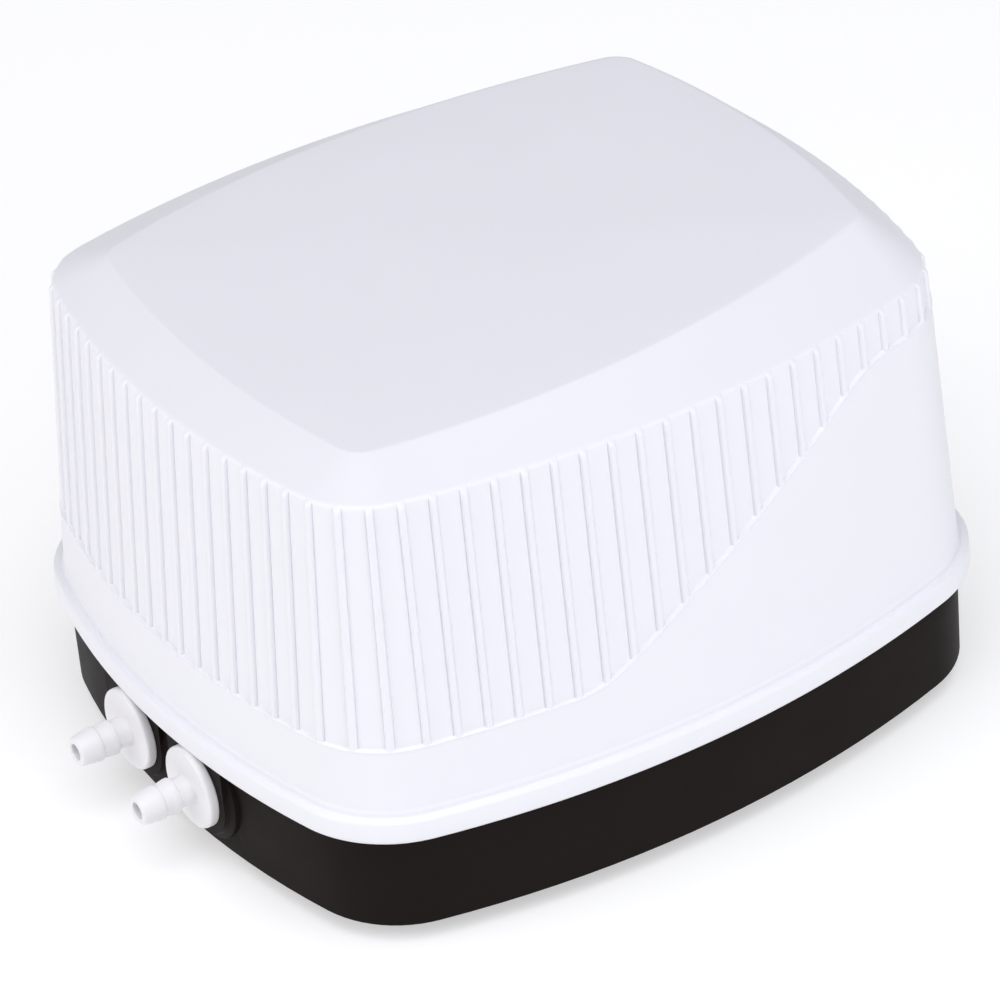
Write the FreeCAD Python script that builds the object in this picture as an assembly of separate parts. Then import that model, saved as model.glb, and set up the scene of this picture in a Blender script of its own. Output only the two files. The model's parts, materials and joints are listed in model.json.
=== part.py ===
import FreeCAD, Part

# Two-outlet aquarium air pump. Millimetres, +Z up. The shapes are built about the middle of the
# housing with z = 0 on the underside of the base tray, then moved so that the origin is the
# bottom centre of the whole object. The outlets face -Y; left is -X and right is +X.
import math
import os

V = FreeCAD.Vector
X, Y, Z = V(1, 0, 0), V(0, 1, 0), V(0, 0, 1)

# ---- driving dimensions: housing ------------------------------------------------------------
# An outline is (half length, half width, side radius, end radius, corner radius).
BASE = (67.0, 59.1, 183.0, 159.0, 18.4)
SHOULDER = (63.8, 54.3, 196.0, 154.0, 14.8)
LID = (53.6, 43.2, 179.0, 164.0, 5.4)
LID_CROWN = (30.0, 20.0, 160.0, 160.0, 5.0)
BASE_HEIGHT = 19.0
FLOOR = 2.4
TRAY_WALL = 2.6
TONGUE_INSET = 1.4
TONGUE_HEIGHT = 3.0
COVER_WALL = 2.2
RIM_PROUD = 2.2
RIM_TOP = 23.3
WALL_FOOT, WALL_FLARE = 23.4, 0.25
SHOULDER_Z, SHOULDER_TILT, SHOULDER_TAPER, SHOULDER_SHIFT = 76.7, -1.7, 0.02, 0.9
LID_Z, LID_TILT, LID_TAPER, LID_SHIFT = 82.6, 0.85, 0.06, 1.4
LID_RISE = 0.7
EDGE_Z, EDGE_ROUND, PLINTH_INSET = 0.9, 0.35, 4.0
# ribs in half a side, one corner and half an end of the wall
RIBS_SIDE, RIBS_CORNER, RIBS_END = 9.66, 3.25, 8.09
RIB_WIDTH, GROOVE_DEPTH, GROOVE_STOP = 1.3, 0.7, 0.4
FIELD_LOW, FIELD_HIGH = 35.0, 68.3
FIELD_START_Y, FIELD_END_Y = -18.3, 38.5
POST_X, POST_Y, POST_R = 41.0, 50.0, 4.2
FOOT_X, FOOT_Y, FOOT_R, FOOT_HEIGHT = 32.0, 42.0, 6.0, 2.5
FOOT_STEM_R, FOOT_STEM_LENGTH = 2.5, 1.8
SCREW_R, SCREW_HEAD_R, SCREW_HEAD_H, SCREW_SEAT = 1.75, 3.2, 2.2, 14.0

# ---- driving dimensions: air path -----------------------------------------------------------
OUTLET_X, OUTLET_Z = 10.0, 11.8
BOSS_FRONT, BOSS_R, BOSS_FOOT_R = 67.8, 8.6, 10.1
DISC_R, DISC_THICKNESS = 7.0, 1.8
NOZZLE_REACH = 79.0
BORE_R = 1.5
SPIGOT_R, SPIGOT_END = 3.0, 56.0
TUBE_R, TUBE_BORE_R = 3.6, 2.0
SEAL_R, SEAL_Y, SEAL_T = 5.0, -64.2, 1.6
INTAKE_Y, INTAKE_R, INTAKE_ROOF = 18.0, 15.0, 5.6
GLAND_Z, GLAND_R, CORD_R = 9.5, 4.5, 3.25
GLAND_PAD_R = 6.8
TUBE_START, TUBE_BEND = V(50.8, -17.5, 27.0), V(49.6, -33.0, 24.0)

# ---- driving dimensions: mechanism ----------------------------------------------------------
PLATE_Z, PLATE_T = 12.0, 1.5
PLATE_TOP = PLATE_Z + PLATE_T
AXIS_Z = 33.5
MAGNET_Y, HEAD_Y, PIVOT_Y, PIVOT_X = -14.0, 4.0, 34.0, 35.5
HEAD_R, CHAMBER_R = 19.0, 13.0
CORE_FACE = 26.0
AIR_GAP = 2.5
MAGNET_X = CORE_FACE + AIR_GAP
ARM_X, ARM_T = 33.5, 4.0
RING_X, DIAPHRAGM_X, HEAD_X, LID_X, HEAD_END = 40.0, 42.0, 43.2, 49.2, 52.4
MOUNTS = ((45.5, -22.5), (45.5, 29.5))
PIN_R, PIN_CLEARANCE = 1.5, 0.05
CLAMP_X, CLAMP_T, CLAMP_SCREW_R = 23.5, 1.2, 1.0
HEAD_AT = (HEAD_Y, AXIS_Z)
HEAD_SCREW_R = 15.9
INLET_Y, OUTLET_PORT_Y = HEAD_Y + 7.0, HEAD_Y - 7.0
FLAP_R, FLAP_T, POCKET_R = 3.6, 0.5, 5.0
WALL_IN, WALL_OUT = HEAD_X + 3.0, HEAD_X + 4.4


# ---- shape helpers --------------------------------------------------------------------------
def box(x, y, z):
    """A box between two limits on each axis."""
    size = (x[1] - x[0], y[1] - y[0], z[1] - z[0])
    return Part.makeBox(*size, V(x[0], y[0], z[0]))


def rod(radius, start, end, axis, at):
    """A cylinder along X, Y or Z from start to end; at holds its other two coordinates."""
    if axis == "x":
        return Part.makeCylinder(radius, end - start, V(start, at[0], at[1]), X)
    if axis == "y":
        return Part.makeCylinder(radius, end - start, V(at[0], start, at[1]), Y)
    return Part.makeCylinder(radius, end - start, V(at[0], at[1], start), Z)


def joined(shapes):
    """One solid from overlapping or touching shapes."""
    return shapes[0].fuse(list(shapes[1:])).removeSplitter()


def group(shapes):
    return Part.makeCompound(list(shapes))


def mirrored(shape):
    return shape.mirror(V(0, 0, 0), X)


def on_four_sides(x, y):
    return [(sx * x, sy * y) for sx in (-1, 1) for sy in (-1, 1)]


def outline_arcs(outline):
    """The eight arcs of a pillow rectangle, as (centre x, centre y, radius, start, end)."""
    half_length, half_width, side_r, end_r, corner_r = outline
    side_c, end_c = half_width - side_r, half_length - end_r
    gap = math.hypot(side_c, end_c)
    ux, uy = -side_c / gap, end_c / gap
    reach_side, reach_end = side_r - corner_r, end_r - corner_r
    along = (gap**2 + reach_side**2 - reach_end**2) / (2 * gap)
    off = math.sqrt(reach_side**2 - along**2)
    cx, cy = side_c + ux * along - uy * off, uy * along + ux * off
    low, high = math.atan2(cy, cx - side_c), math.atan2(cy - end_c, cx)
    half, full = math.pi, 2 * math.pi
    return [
        (side_c, 0, side_r, -low, low),
        (cx, cy, corner_r, low, high),
        (0, end_c, end_r, high, half - high),
        (-cx, cy, corner_r, half - high, half - low),
        (-side_c, 0, side_r, half - low, half + low),
        (-cx, -cy, corner_r, half + low, half + high),
        (0, -end_c, end_r, half + high, full - high),
        (cx, -cy, corner_r, full - high, full - low),
    ]


def level(outline, z, tilt=0.0, taper=0.0, shift=0.0, inset=0.0):
    """One horizontal section of the housing, which may tilt, taper and shift towards the rear."""
    shrunk = tuple(size - inset for size in outline)
    return {"outline": shrunk, "z": z, "tilt": tilt, "taper": taper, "shift": shift}


def level_point(section, arc, fraction):
    cx, cy, radius, start, end = outline_arcs(section["outline"])[arc]
    angle = start + (end - start) * fraction
    x, y = cx + radius * math.cos(angle), cy + radius * math.sin(angle)
    lean = y / section["outline"][0]
    return V(x * (1 - section["taper"] * lean), y + section["shift"], section["z"] + section["tilt"] * lean)


def level_wire(section):
    edges = []
    for arc in range(8):
        points = [level_point(section, arc, fraction) for fraction in (0.0, 0.5, 1.0)]
        edges.append(Part.Arc(*points).toShape())
    return Part.Wire(edges)


def lofted(sections):
    return Part.makeLoft([level_wire(section) for section in sections], True, True)


def turned(profile, axis_at):
    """A solid of revolution about a line along -Y through axis_at; profile is (distance, radius)."""
    points = [V(axis_at[0] + radius, -distance, axis_at[1]) for distance, radius in profile]
    points.append(points[0])
    face = Part.Face(Part.makePolygon(points))
    return face.revolve(V(axis_at[0], 0, axis_at[1]), Y, 360)


def screw(head_r, head_h, shank_r, length):
    """A pan-head screw along +Z: head from -head_h to 0, shank from 0 to length."""
    head = Part.makeCylinder(head_r, head_h, V(0, 0, -head_h))
    slot = box((-head_r, head_r), (-0.4, 0.4), (-head_h, -0.6 * head_h))
    return joined([head, Part.makeCylinder(shank_r, length)]).cut(slot)


def pointed(shape, direction, place):
    """Turns a shape made along +Z to a direction and puts it in its place."""
    moved = shape.copy()
    moved.Placement = FreeCAD.Placement(place, FreeCAD.Rotation(Z, direction))
    return moved


def swept_path(points, radii):
    """Straight runs joined by tangent arcs at the inner points."""
    edges = []
    start = points[0]
    for index in range(1, len(points) - 1):
        before, here, after = points[index - 1], points[index], points[index + 1]
        back, ahead = (before - here).normalize(), (after - here).normalize()
        half_angle = back.getAngle(ahead) / 2
        reach = radii[index - 1] / math.tan(half_angle)
        first, last = here + back * reach, here + ahead * reach
        middle_way = (back + ahead).normalize()
        centre = here + middle_way * (radii[index - 1] / math.sin(half_angle))
        middle = centre - middle_way * radii[index - 1]
        edges.append(Part.LineSegment(start, first).toShape())
        edges.append(Part.Arc(first, middle, last).toShape())
        start = last
    edges.append(Part.LineSegment(start, points[-1]).toShape())
    return Part.Wire(edges)


def swept(points, radii, radius):
    """A round bar along a path of runs and arcs."""
    path = swept_path(points, radii)
    circle = Part.Wire([Part.makeCircle(radius, points[0], points[1] - points[0])])
    return path.makePipeShell([circle], True, False)


# ---- housing --------------------------------------------------------------------------------
def shoulder_level(inset=0.0, drop=0.0):
    return level(SHOULDER, SHOULDER_Z - drop, SHOULDER_TILT, SHOULDER_TAPER, SHOULDER_SHIFT, inset)


def lid_level(inset=0.0, drop=0.0):
    return level(LID, LID_Z - drop, LID_TILT, LID_TAPER, LID_SHIFT, inset)


def field_bottom(y):
    """Height of the lower edge of the ribbed field, which climbs along the sides."""
    part = (y - FIELD_START_Y) / (FIELD_END_Y - FIELD_START_Y)
    return FIELD_LOW + (FIELD_HIGH - FIELD_LOW) * min(max(part, 0.0), 1.0)


def shoulder_station(distance):
    """The arc and fraction at a distance along the shoulder outline."""
    for index, (_, _, radius, start, end) in enumerate(outline_arcs(SHOULDER)):
        length = radius * (end - start)
        if distance <= length:
            return index, distance / length
        distance -= length
    return 7, 1.0


def groove(distance, width):
    """The tool that sinks the wall between two ribs, centred at a distance along the shoulder."""
    foot, top = level(BASE, WALL_FOOT, inset=-WALL_FLARE), shoulder_level()
    arc, fraction = shoulder_station(distance)
    low, high = level_point(foot, arc, fraction), level_point(top, arc, fraction)
    before, after = shoulder_station(distance - 0.5), shoulder_station(distance + 0.5)
    tangent = (level_point(top, *after) - level_point(top, *before)).normalize()
    rise = (high - low).normalize()
    outward = tangent.cross(rise).normalize()
    corners = []
    for side in (-0.5, 0.5):
        edge = low + tangent * (side * width)
        bottom = (field_bottom(edge.y) - low.z) / rise.z
        crest = (high - low).Length - GROOVE_STOP
        ends = (bottom, crest) if side < 0 else (crest, bottom)
        corners += [edge + rise * end - outward * GROOVE_DEPTH for end in ends]
    face = Part.Face(Part.makePolygon(corners + corners[:1]))
    return face.extrude(outward * (GROOVE_DEPTH + 1.5))


def grooves():
    """The sunk fields between neighbouring ribs, all round the wall."""
    lengths = [radius * (end - start) for _, _, radius, start, end in outline_arcs(SHOULDER)]
    counts = (RIBS_SIDE, RIBS_CORNER, RIBS_END)
    quarter = list(zip((lengths[0] / 2, lengths[1], lengths[2] / 2), counts))
    tools = []
    walked, passed, wanted = lengths[0] / 2, 0.0, 0
    for length, count in (quarter + quarter[::-1]) * 2:
        pitch = length / count
        while wanted < passed + count - 1e-6:
            distance = walked + pitch * (wanted - passed)
            tools.append(groove(distance % sum(lengths), pitch - RIB_WIDTH))
            wanted += 1
        walked += length
        passed += count
    return group(tools)


def cover_shell():
    outside = lofted([
        level(BASE, BASE_HEIGHT, inset=-RIM_PROUD + 0.6),
        level(BASE, BASE_HEIGHT + 0.6, inset=-RIM_PROUD),
        level(BASE, RIM_TOP - 0.8, inset=-RIM_PROUD),
        level(BASE, RIM_TOP, inset=-RIM_PROUD + 0.8),
        level(BASE, WALL_FOOT, inset=-WALL_FLARE),
        shoulder_level(),
        lid_level(),
        level(LID_CROWN, LID_Z + LID_RISE, LID_TILT, LID_TAPER, LID_SHIFT),
    ])
    inside = lofted([
        level(BASE, BASE_HEIGHT - 1.0, inset=TONGUE_INSET - 0.1),
        level(BASE, BASE_HEIGHT + TONGUE_HEIGHT + 0.8, inset=TONGUE_INSET - 0.1),
        level(BASE, BASE_HEIGHT + TONGUE_HEIGHT + 2.0, inset=COVER_WALL),
        shoulder_level(COVER_WALL, 1.6),
        lid_level(COVER_WALL, COVER_WALL),
    ])
    shell = outside.cut(inside)
    for x, y in on_four_sides(POST_X, POST_Y):
        post = rod(POST_R, BASE_HEIGHT, LID_Z + 5, "z", (x, y)).common(outside)
        shell = shell.fuse(post)
        shell = shell.cut(rod(SCREW_R, BASE_HEIGHT - 1, BASE_HEIGHT + 12, "z", (x, y)))
    return shell.cut(grooves())


def boss(sign):
    """One outlet boss: a round pad that stands out of the front wall, with a flared foot."""
    at = (sign * OUTLET_X, OUTLET_Z)
    round_pad = rod(BOSS_R, -BOSS_FRONT, -60.0, "y", at)
    flare = Part.makeCone(BOSS_R, BOSS_FOOT_R, 1.4, V(at[0], -BOSS_FRONT + 0.8, at[1]), Y)
    foot = rod(BOSS_FOOT_R, -BOSS_FRONT + 2.2, -60.0, "y", at)
    riser = box((at[0] - BOSS_R, at[0] + BOSS_R), (-BOSS_FRONT, -60.0), (OUTLET_Z, BASE_HEIGHT))
    whole = joined([round_pad, flare, foot, riser])
    return whole.common(box((-40, 40), (-70, -60), (0, BASE_HEIGHT)))


def base_tray():
    outside = lofted([
        level(BASE, EDGE_Z, inset=EDGE_ROUND),
        level(BASE, EDGE_Z + EDGE_ROUND),
        level(BASE, BASE_HEIGHT),
    ])
    plinth = lofted([
        level(BASE, 0.0, inset=PLINTH_INSET + 0.6),
        level(BASE, 0.6, inset=PLINTH_INSET),
        level(BASE, FLOOR - 0.4, inset=PLINTH_INSET),
    ])
    tongue = lofted([
        level(BASE, 10.0, inset=TONGUE_INSET),
        level(BASE, BASE_HEIGHT + TONGUE_HEIGHT, inset=TONGUE_INSET),
    ])
    inside = lofted([
        level(BASE, FLOOR, inset=TRAY_WALL),
        level(BASE, BASE_HEIGHT + TONGUE_HEIGHT + 1, inset=TRAY_WALL),
    ])
    gland_pad = rod(GLAND_PAD_R, 60.0, 67.2, "y", (0, GLAND_Z))
    tray = outside.fuse([plinth, tongue, boss(-1), boss(1), gland_pad]).cut(inside)
    posts = [rod(POST_R, FLOOR - 1, BASE_HEIGHT, "z", at) for at in on_four_sides(POST_X, POST_Y)]
    stands = [rod(4.0, FLOOR - 1, 7.0, "z", (sx * x, y)) for x, y in MOUNTS for sx in (-1, 1)]
    inner_pad = rod(GLAND_PAD_R, 64.2, 66.0, "y", (0, GLAND_Z))
    intake = rod(INTAKE_R + 2.0, 0.0, INTAKE_ROOF + 2.0, "z", (0, INTAKE_Y))
    tray = tray.fuse(posts + stands + [inner_pad, intake])
    holes = []
    for x, y in on_four_sides(POST_X, POST_Y):
        holes.append(rod(SCREW_HEAD_R + 0.3, -1.0, SCREW_SEAT, "z", (x, y)))
        holes.append(rod(SCREW_R, SCREW_SEAT, BASE_HEIGHT + 1, "z", (x, y)))
    for x, y in on_four_sides(FOOT_X, FOOT_Y):
        holes.append(rod(FOOT_STEM_R, -1.0, FOOT_STEM_LENGTH, "z", (x, y)))
    for x, y in MOUNTS:
        holes += [rod(1.5, 3.0, 8.0, "z", (sx * x, y)) for sx in (-1, 1)]
    for sign in (-1, 1):
        holes.append(rod(SPIGOT_R, -70.0, -60.0, "y", (sign * OUTLET_X, OUTLET_Z)))
        holes.append(rod(SEAL_R + 0.2, SEAL_Y, -60.0, "y", (sign * OUTLET_X, OUTLET_Z)))
    holes.append(rod(GLAND_R, 60.0, 70.0, "y", (0, GLAND_Z)))
    holes.append(rod(INTAKE_R, -1.0, INTAKE_ROOF, "z", (0, INTAKE_Y)))
    for index in range(6):
        angle = index * math.pi / 3
        at = (9.0 * math.cos(angle), INTAKE_Y + 9.0 * math.sin(angle))
        holes.append(rod(2.0, INTAKE_ROOF - 1, INTAKE_ROOF + 3, "z", at))
    return tray.cut(holes)


def cover_screws():
    length = BASE_HEIGHT + 10 - SCREW_SEAT
    one = screw(SCREW_HEAD_R, SCREW_HEAD_H, SCREW_R, length)
    return group(pointed(one, Z, V(x, y, SCREW_SEAT)) for x, y in on_four_sides(POST_X, POST_Y))


def rubber_feet():
    feet = []
    for x, y in on_four_sides(FOOT_X, FOOT_Y):
        disc = rod(FOOT_R, -FOOT_HEIGHT, 0.0, "z", (x, y))
        disc = disc.makeChamfer(0.6, [edge for edge in disc.Edges if edge.BoundBox.ZMax < -1])
        feet.append(joined([disc, rod(FOOT_STEM_R, 0.0, FOOT_STEM_LENGTH, "z", (x, y))]))
    return group(feet)


def filter_cap():
    cap = rod(INTAKE_R, 0.0, 2.2, "z", (0, INTAKE_Y))
    slots = [box((-reach, reach), (INTAKE_Y + y - 1, INTAKE_Y + y + 1), (-1, 4))
             for y, reach in ((-8, 8), (-4, 11), (0, 12), (4, 11), (8, 8))]
    return cap.cut(slots)


def filter_felt():
    return rod(INTAKE_R - 0.5, 2.2, INTAKE_ROOF, "z", (0, INTAKE_Y))


def cord_gland():
    at = (0, GLAND_Z)
    body = joined([
        rod(GLAND_R, 62.2, 68.8, "y", at),
        rod(GLAND_R + 2.0, 67.2, 68.8, "y", at),
        rod(GLAND_R + 2.0, 62.2, 64.2, "y", at),
    ])
    return body.cut(rod(CORD_R, 61.0, 70.0, "y", at))


def terminal_block():
    body = box((-10, 10), (48, 58), (FLOOR, 11.4))
    wells = [rod(1.8, 8.0, 12.0, "z", (x, 53)) for x in (-5, 5)]
    entries = [rod(1.2, 50.0, 59.0, "y", (x, 6.0)) for x in (-5, 5)]
    return body.cut(wells + entries)


# ---- outlets and tubes ----------------------------------------------------------------------
def outlet_nozzle():
    """The right nozzle: inner spigot, disc, neck and a two-step barb, bored right through."""
    disc_back = BOSS_FRONT
    disc_front = BOSS_FRONT + DISC_THICKNESS
    profile = [
        (SPIGOT_END, BORE_R), (SPIGOT_END, SPIGOT_R - 0.5), (SPIGOT_END + 1.5, SPIGOT_R),
        (disc_back, SPIGOT_R), (disc_back, DISC_R), (disc_front - 0.5, DISC_R),
        (disc_front, DISC_R - 0.5), (disc_front, 2.4), (disc_front + 2.2, 2.4),
        (disc_front + 2.2, 2.8), (disc_front + 3.2, 2.8), (disc_front + 5.6, 2.35),
        (disc_front + 5.6, 2.65), (disc_front + 6.3, 2.65), (NOZZLE_REACH, 2.1),
        (NOZZLE_REACH, BORE_R),
    ]
    return turned(profile, (OUTLET_X, OUTLET_Z))


def nozzle_seal():
    ring = rod(SEAL_R, SEAL_Y, SEAL_Y + SEAL_T, "y", (OUTLET_X, OUTLET_Z))
    return ring.cut(rod(SPIGOT_R, SEAL_Y - 1, SEAL_Y + 3, "y", (OUTLET_X, OUTLET_Z)))


def air_tube():
    """The silicone tube from the head cover's spigot to the inner end of the nozzle."""
    points = [
        TUBE_START, TUBE_BEND, V(31.0, -42.0, 13.5),
        V(OUTLET_X, -44.5, OUTLET_Z), V(OUTLET_X, SEAL_Y + SEAL_T, OUTLET_Z),
    ]
    radii = [7.0, 12.0, 6.0]
    outer = swept(points, radii, TUBE_R)
    bore = swept(points, radii, TUBE_BORE_R)
    inlet = Part.makeCylinder(2.5, 5.0, points[0], points[1] - points[0])
    outlet = rod(SPIGOT_R, SEAL_Y, -SPIGOT_END, "y", (OUTLET_X, OUTLET_Z))
    return outer.cut([bore, inlet, outlet])


# ---- electromagnet --------------------------------------------------------------------------
def clamp_screw_places():
    return [(sx * CLAMP_X, MAGNET_Y + sy * 12.8) for sx in (-1, 1) for sy in (-1, 1)]


def mount_plate():
    wide = box((-51, 51), (-28.5, 34.5), (PLATE_Z, PLATE_TOP))
    rear = box((-41, 41), (34.5, 43.0), (PLATE_Z, PLATE_TOP))
    plate = joined([wide, rear])
    holes = [rod(3.0, PLATE_Z - 1, PLATE_TOP + 1, "z", (sx * x, y)) for x, y in MOUNTS for sx in (-1, 1)]
    holes += [rod(CLAMP_SCREW_R, PLATE_Z - 1, PLATE_TOP + 1, "z", at) for at in clamp_screw_places()]
    return plate.cut(holes)


def rubber_mounts():
    mounts = []
    for x, y in MOUNTS:
        for sx in (-1, 1):
            at = (sx * x, y)
            body = joined([
                rod(4.5, 7.0, PLATE_Z, "z", at),
                rod(3.0, 7.0, PLATE_TOP + 2.0, "z", at),
                rod(4.5, PLATE_TOP, PLATE_TOP + 2.0, "z", at),
            ])
            mounts.append(body.cut(rod(1.5, 6.0, PLATE_TOP + 3.0, "z", at)))
    return group(mounts)


def mount_screws():
    one = screw(3.2, 2.0, 1.5, PLATE_TOP + 2.0 - 4.0)
    top = PLATE_TOP + 2.0
    return group(pointed(one, V(0, 0, -1), V(sx * x, y, top)) for x, y in MOUNTS for sx in (-1, 1))


def core_stack():
    """The right T-shaped lamination stack: half of the web and one pole cheek."""
    web = box((0, 21), (MAGNET_Y - 7, MAGNET_Y + 7), (AXIS_Z - 7, AXIS_Z + 7))
    cheek = box((21, CORE_FACE), (MAGNET_Y - 7, MAGNET_Y + 7), (PLATE_TOP, 2 * AXIS_Z - PLATE_TOP))
    return joined([web, cheek])


def coil_bobbin():
    tube = box((-19, 19), (MAGNET_Y - 8.2, MAGNET_Y + 8.2), (AXIS_Z - 8.2, AXIS_Z + 8.2))
    flanges = [box(x, (MAGNET_Y - 17, MAGNET_Y + 17), (AXIS_Z - 17, AXIS_Z + 17))
               for x in ((-20.8, -19), (19, 20.8))]
    hole = box((-21, 21), (MAGNET_Y - 7, MAGNET_Y + 7), (AXIS_Z - 7, AXIS_Z + 7))
    return joined([tube] + flanges).cut(hole)


def coil_winding():
    half = 15.5
    body = box((-19, 19), (MAGNET_Y - half, MAGNET_Y + half), (AXIS_Z - half, AXIS_Z + half))
    long_edges = [edge for edge in body.Edges if edge.BoundBox.XLength > 30]
    body = body.makeFillet(5.0, long_edges)
    return body.cut(box((-20, 20), (MAGNET_Y - 8.2, MAGNET_Y + 8.2), (AXIS_Z - 8.2, AXIS_Z + 8.2)))


def coil_leads():
    leads = []
    for x in (-4, 4):
        points = [V(x, 48, 8), V(x, 45.5, 8), V(x, 45.5, 22), V(x, MAGNET_Y + 15.5, 22)]
        leads.append(swept(points, [1.2, 2.0], 0.8))
    return group(leads)


def core_clamp():
    """The right steel strap over the pole cheek, with feet on the plate."""
    x = (CLAMP_X - 2.0, CLAMP_X + 2.0)
    near, far = MAGNET_Y - 7, MAGNET_Y + 7
    top = 2 * AXIS_Z - PLATE_TOP
    bridge = box(x, (near - CLAMP_T, far + CLAMP_T), (top, top + CLAMP_T))
    legs = [box(x, y, (PLATE_TOP, top)) for y in ((near - CLAMP_T, near), (far, far + CLAMP_T))]
    feet = [box(x, y, (PLATE_TOP, PLATE_TOP + CLAMP_T)) for y in ((near - 8, near), (far, far + 8))]
    holes = [rod(CLAMP_SCREW_R, PLATE_TOP - 1, PLATE_TOP + 3, "z", at) for at in clamp_screw_places()]
    return joined([bridge] + legs + feet).cut(holes)


def core_screws():
    one = screw(1.9, 1.2, CLAMP_SCREW_R, CLAMP_T + PLATE_T)
    top = PLATE_TOP + CLAMP_T
    return group(pointed(one, V(0, 0, -1), V(x, y, top)) for x, y in clamp_screw_places())


# ---- rocker arms ----------------------------------------------------------------------------
def arm():
    """The right rocker arm: a flat lever with a bushed eye, a magnet seat and a screw hole."""
    lever = box((ARM_X, ARM_X + ARM_T), (MAGNET_Y - 8, PIVOT_Y), (AXIS_Z - 7, AXIS_Z + 7))
    seat = box((ARM_X - 1.5, ARM_X), (MAGNET_Y - 8, MAGNET_Y + 8), (AXIS_Z - 12, AXIS_Z + 12))
    backing = box((ARM_X, ARM_X + 1.5), (MAGNET_Y - 8, MAGNET_Y + 8), (AXIS_Z - 12, AXIS_Z + 12))
    eye = rod(4.5, AXIS_Z - 9.3, AXIS_Z + 9.3, "z", (PIVOT_X, PIVOT_Y))
    whole = joined([lever, seat, backing, eye])
    pocket = box((ARM_X - 3, ARM_X), (MAGNET_Y - 7, MAGNET_Y + 7), (AXIS_Z - 11, AXIS_Z + 11))
    bore = rod(PIN_R + PIN_CLEARANCE, 0, 60, "z", (PIVOT_X, PIVOT_Y))
    screw_hole = rod(1.5, ARM_X - 1, ARM_X + ARM_T + 1, "x", (HEAD_Y, AXIS_Z))
    return whole.cut([pocket, bore, screw_hole])


def arm_magnet():
    return box((MAGNET_X, ARM_X), (MAGNET_Y - 7, MAGNET_Y + 7), (AXIS_Z - 11, AXIS_Z + 11))


def pivot_bracket():
    """The right steel bracket: a foot, an upright behind the arm and two lugs that hold the pin."""
    x = (PIVOT_X - 4.5, PIVOT_X + 4.5)
    back = PIVOT_Y + 6.0
    low, high = AXIS_Z - 11.0, AXIS_Z + 11.0
    parts = [
        box(x, (PIVOT_Y - 4, back + 2.5), (PLATE_TOP, PLATE_TOP + 1.5)),
        box(x, (back, back + 1.5), (PLATE_TOP, high)),
        box(x, (PIVOT_Y - 4, back + 1.5), (low, low + 1.5)),
        box(x, (PIVOT_Y - 4, back + 1.5), (high - 1.5, high)),
    ]
    return joined(parts).cut(rod(PIN_R, low - 1, high + 1, "z", (PIVOT_X, PIVOT_Y)))


def pivot_pin():
    at = (PIVOT_X, PIVOT_Y)
    return joined([
        rod(PIN_R, AXIS_Z - 12.0, AXIS_Z + 11.0, "z", at),
        rod(2.3, AXIS_Z + 11.0, AXIS_Z + 12.2, "z", at),
    ])


# ---- pump heads -----------------------------------------------------------------------------
def head_screw_places():
    reach = HEAD_SCREW_R * math.sqrt(0.5)
    return [(HEAD_Y + sy * reach, AXIS_Z + sz * reach) for sy in (-1, 1) for sz in (-1, 1)]


def head_holes(start, end):
    return [rod(1.3, start, end, "x", at) for at in head_screw_places()]


def diaphragm():
    """The right diaphragm: a clamped rim, a thin web with one roll and a thick centre."""
    rim = rod(HEAD_R, DIAPHRAGM_X, HEAD_X, "x", HEAD_AT)
    rim = rim.cut(rod(CHAMBER_R - 1, DIAPHRAGM_X - 1, DIAPHRAGM_X + 0.3, "x", HEAD_AT))
    roll = Part.makeTorus(9.5, 0.9, V(DIAPHRAGM_X + 0.4, HEAD_Y, AXIS_Z), X)
    centre = rod(6.0, ARM_X + ARM_T, HEAD_X, "x", HEAD_AT)
    body = joined([rim, roll, centre])
    screw_hole = rod(1.5, ARM_X, HEAD_X + 1, "x", HEAD_AT)
    return body.cut(head_holes(DIAPHRAGM_X - 1, HEAD_X + 1) + [screw_hole])


def diaphragm_washer():
    washer = rod(5.0, HEAD_X, HEAD_X + 0.6, "x", HEAD_AT)
    return washer.cut(rod(1.5, HEAD_X - 1, HEAD_X + 2, "x", HEAD_AT))


def diaphragm_screw():
    one = screw(2.6, 1.0, 1.5, HEAD_X + 0.6 - (ARM_X - 1.0))
    return pointed(one, V(-1, 0, 0), V(HEAD_X + 0.6, HEAD_Y, AXIS_Z))


def clamp_ring():
    ring = rod(HEAD_R, RING_X, DIAPHRAGM_X, "x", HEAD_AT)
    return ring.cut([rod(CHAMBER_R, RING_X - 1, DIAPHRAGM_X + 1, "x", HEAD_AT)]
                    + head_holes(RING_X - 1, DIAPHRAGM_X + 1))


def pump_head():
    """The right head: compression chamber inside, valve wall, two plenums on the outside."""
    body = rod(HEAD_R, HEAD_X, LID_X, "x", HEAD_AT)
    foot = box((HEAD_X, LID_X), (HEAD_Y - 14, HEAD_Y + 14), (PLATE_TOP, AXIS_Z - 12))
    cuts = [rod(CHAMBER_R, HEAD_X - 1, WALL_IN, "x", HEAD_AT)]
    for port in (INLET_Y, OUTLET_PORT_Y):
        cuts.append(rod(POCKET_R, WALL_OUT, LID_X + 1, "x", (port, AXIS_Z)))
        cuts.append(rod(1.6, WALL_IN - 1, WALL_OUT + 1, "x", (port, AXIS_Z)))
    cuts.append(box((WALL_OUT, LID_X + 1), (INLET_Y, INLET_Y + 20), (AXIS_Z - 2, AXIS_Z + 2)))
    return joined([body, foot]).cut(cuts + head_holes(HEAD_X - 1, LID_X + 1))


def inlet_flap():
    return rod(FLAP_R, WALL_IN - FLAP_T, WALL_IN, "x", (INLET_Y, AXIS_Z))


def outlet_flap():
    return rod(FLAP_R, WALL_OUT, WALL_OUT + FLAP_T, "x", (OUTLET_PORT_Y, AXIS_Z))


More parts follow.
